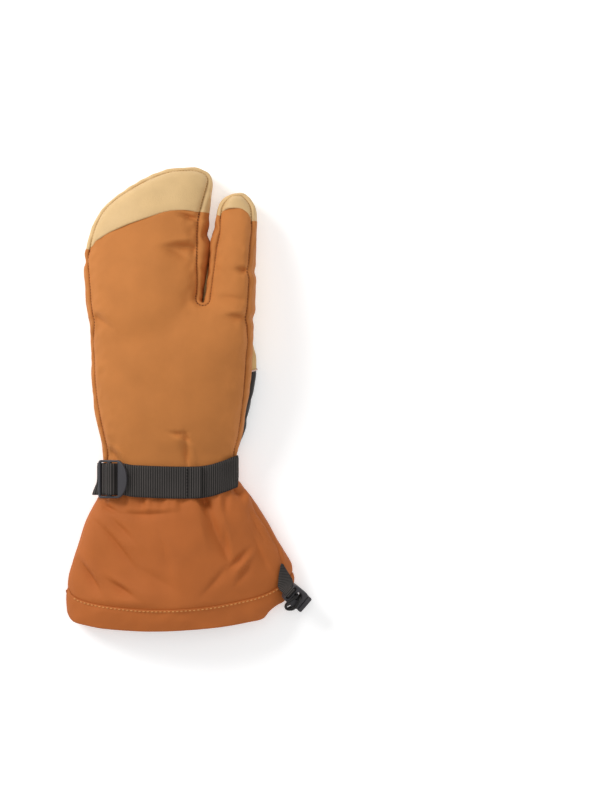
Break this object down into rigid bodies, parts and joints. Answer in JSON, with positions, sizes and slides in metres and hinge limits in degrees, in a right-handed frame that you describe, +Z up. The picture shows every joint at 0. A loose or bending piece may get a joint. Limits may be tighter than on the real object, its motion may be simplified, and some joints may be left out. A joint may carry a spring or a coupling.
{
  "type": "three-finger gauntlet mitt",
  "caption": "Padded three-finger mitt for the left hand, with leather fingertips and palm, a flared gauntlet, a wrist strap with a ladder buckle, and a hem drawcord in a cord lock.",
  "frame": {"origin": "on the surface that the mitt lies on, under the middle of its plan outline", "axes": "+Y from the gauntlet's hem to the fingertips, +X towards the thumb and index side, +Z up from the palm to the back of the hand"},
  "size_m": [0.1879, 0.3535, 0.0546],
  "materials": {
    "shell_fabric": "matt woven",
    "gauntlet_fabric": "matt woven, slightly crisp",
    "leather": "fine grain, matt",
    "thumb_fabric": "matt soft pile",
    "webbing": "ribbed webbing",
    "plastic": "satin moulded",
    "cord": "glossy round elastic"
  },
  "bodies": {
    "root": {"back_panel": "shell_fabric", "wide_cap": "leather", "index_cap": "leather", "palm_panel": "leather", "side_gusset": "shell_fabric", "split_gusset": "shell_fabric", "index_gusset": "shell_fabric", "wide_rim": "leather", "index_rim": "leather", "index_patch": "leather", "thumb_back": "thumb_fabric", "thumb_inner": "leather", "cuff": "gauntlet_fabric", "hem_band": "gauntlet_fabric", "wrist_strap": "webbing", "strap_anchor": "webbing", "strap_buckle": "plastic", "cord_lock": "plastic", "lock_button": "plastic", "lock_tether": "webbing", "drawcord": "cord"}
  },
  "joints": []
}
